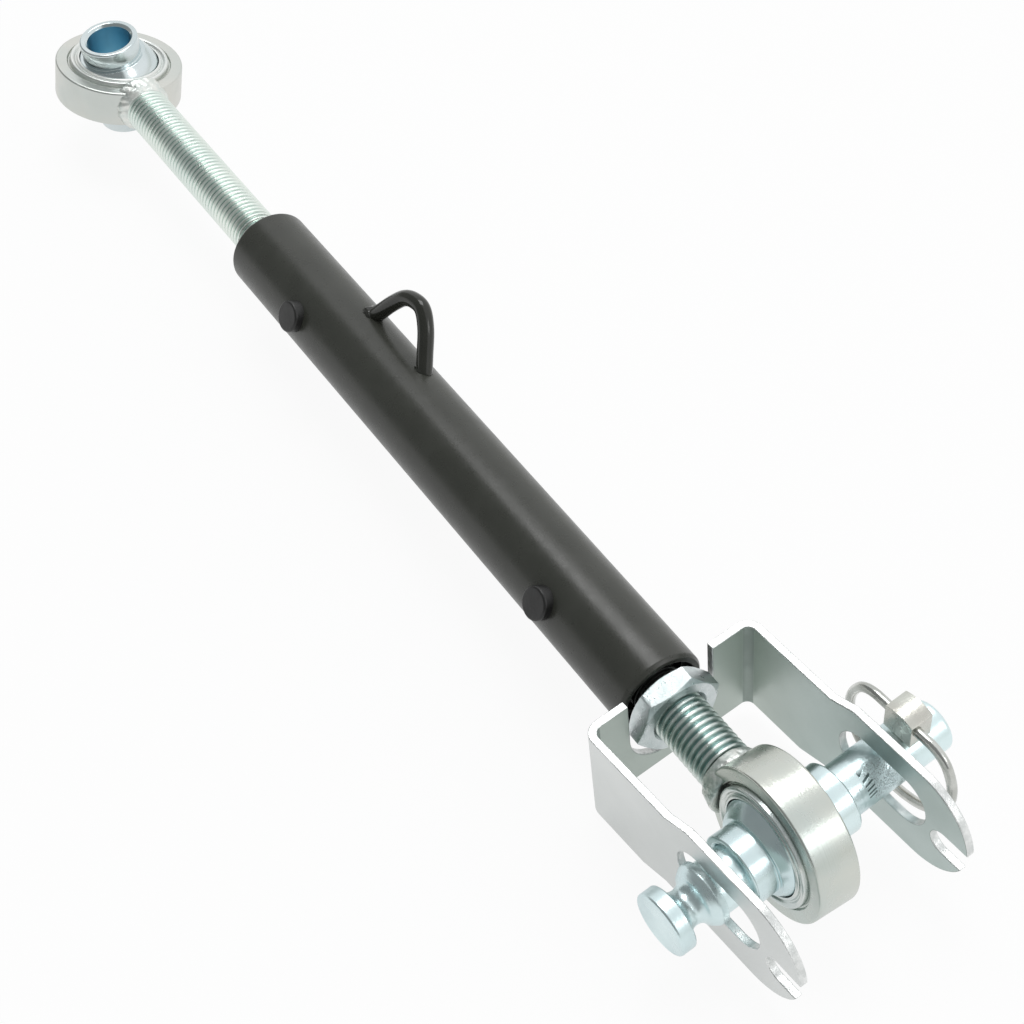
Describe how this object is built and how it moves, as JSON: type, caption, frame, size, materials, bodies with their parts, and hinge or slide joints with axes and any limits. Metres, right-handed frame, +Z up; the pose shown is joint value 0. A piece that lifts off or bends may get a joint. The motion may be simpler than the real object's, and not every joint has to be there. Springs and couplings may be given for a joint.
{
  "type": "three point hitch top link",
  "caption": "Turnbuckle top link: a turning barrel on two opposite-threaded rods with ball eyes, a hitch pin with lynch pin and a swinging sheet bracket.",
  "frame": {"origin": "centre of the upper ball, on the axis of its bore", "axes": "+X along the link from the upper ball to the lower ball, +Y along the hitch pin from its head towards its tip (rolled and yawed by 3.5 degrees each), +Z up on the side of the hand loop and of the lynch pin's block"},
  "size_m": [0.5538, 0.1171, 0.0651],
  "materials": {
    "dark_paint": "satin powder coat, very dark warm grey",
    "black_paint": "satin black",
    "loop_paint": "glossy powder coat, dark olive grey",
    "steel": "plain turned steel",
    "thread_zinc": "rolled thread, bright zinc plate",
    "eye_nickel": "turned steel, warm bright zinc plate",
    "race_steel": "turned steel, zinc plate",
    "ball_zinc": "polished steel, bluish zinc plate",
    "spring_steel": "blackened spring steel",
    "nut_zinc": "bright grainy zinc plate",
    "sheet_zinc": "sheet steel, bright zinc plate",
    "pin_zinc": "turned steel, bluish zinc plate",
    "lynch_nickel": "cast steel, warm bright plate",
    "ring_wire": "drawn spring wire, bright plate"
  },
  "bodies": {
    "lower_eye": {"lower_rod": "thread_zinc", "lower_weld": "eye_nickel", "lower_eye": "eye_nickel", "lower_race": "race_steel"},
    "lower_stop": {"lower_stop": "spring_steel"},
    "barrel": {"barrel_tube": "dark_paint", "upper_insert": "steel", "lower_insert": "steel", "insert_studs": "black_paint", "hand_loop": "loop_paint", "loop_welds": "loop_paint"},
    "upper_eye": {"upper_rod": "thread_zinc", "upper_weld": "eye_nickel", "upper_eye": "eye_nickel", "upper_race": "race_steel", "upper_stop": "spring_steel"},
    "upper_ball": {"upper_ball": "ball_zinc"},
    "jam_nut": {"jam_nut": "nut_zinc"},
    "lower_ball": {"lower_ball": "ball_zinc"},
    "hitch_pin": {"hitch_pin": "pin_zinc"},
    "bracket": {"bracket": "sheet_zinc"},
    "lynch_pin": {"lynch_pin": "lynch_nickel"},
    "lynch_ring": {"lynch_ring": "ring_wire"}
  },
  "joints": [
    {"name": "barrel_turn", "type": "hinge", "parent": "lower_eye", "child": "lower_stop", "pos_m": [0.3, 0, 0], "axis": [-1, 0, 0], "range_deg": [-2592, 6264]},
    {"name": "barrel_slide", "type": "slide", "parent": "lower_stop", "child": "barrel", "axis": [-1, 0, 0], "range_m": [-0.0181, 0.0436]},
    {"name": "upper_slide", "type": "slide", "parent": "lower_eye", "child": "upper_eye", "axis": [-1, 0, 0], "range_m": [-0.0361, 0.0871]},
    {"name": "nut_travel", "type": "slide", "parent": "barrel", "child": "jam_nut", "axis": [-1, 0, 0], "range_m": [0, 0.0028]},
    {"name": "upper_ball_tilt", "type": "hinge", "parent": "upper_eye", "child": "upper_ball", "pos_m": [0, 0, 0], "axis": [1, 0, 0], "range_deg": [-32, 2]},
    {"name": "lower_ball_roll", "type": "hinge", "parent": "lower_eye", "child": "lower_ball", "pos_m": [0.481, 0, 0], "axis": [1, 0, 0], "range_deg": [-18, 10]},
    {"name": "hitch_pin_spin", "type": "hinge", "parent": "lower_ball", "child": "hitch_pin", "pos_m": [0.481, 0, 0], "axis": [-0.0609, 0.9963, 0.061], "continuous": true},
    {"name": "bracket_swing", "type": "hinge", "parent": "lower_ball", "child": "bracket", "pos_m": [0.481, 0, 0], "axis": [-0.0609, 0.9963, 0.061], "range_deg": [-175, 3.5]},
    {"name": "lynch_pin_lift", "type": "slide", "parent": "hitch_pin", "child": "lynch_pin", "axis": [0.0037, -0.0609, 0.9981], "range_m": [0, 0.01]},
    {"name": "lynch_ring_swing", "type": "hinge", "parent": "lynch_pin", "child": "lynch_ring", "pos_m": [0.47802, 0.04878, 0.02002], "axis": [0.9981, 0.061, 0], "range_deg": [-10, 170]}
  ],
  "couplings": [
    {"joint": "barrel_slide", "follows": "barrel_turn", "m_per_rad": 0.00039789},
    {"joint": "upper_slide", "follows": "barrel_turn", "m_per_rad": 0.00079577}
  ]
}
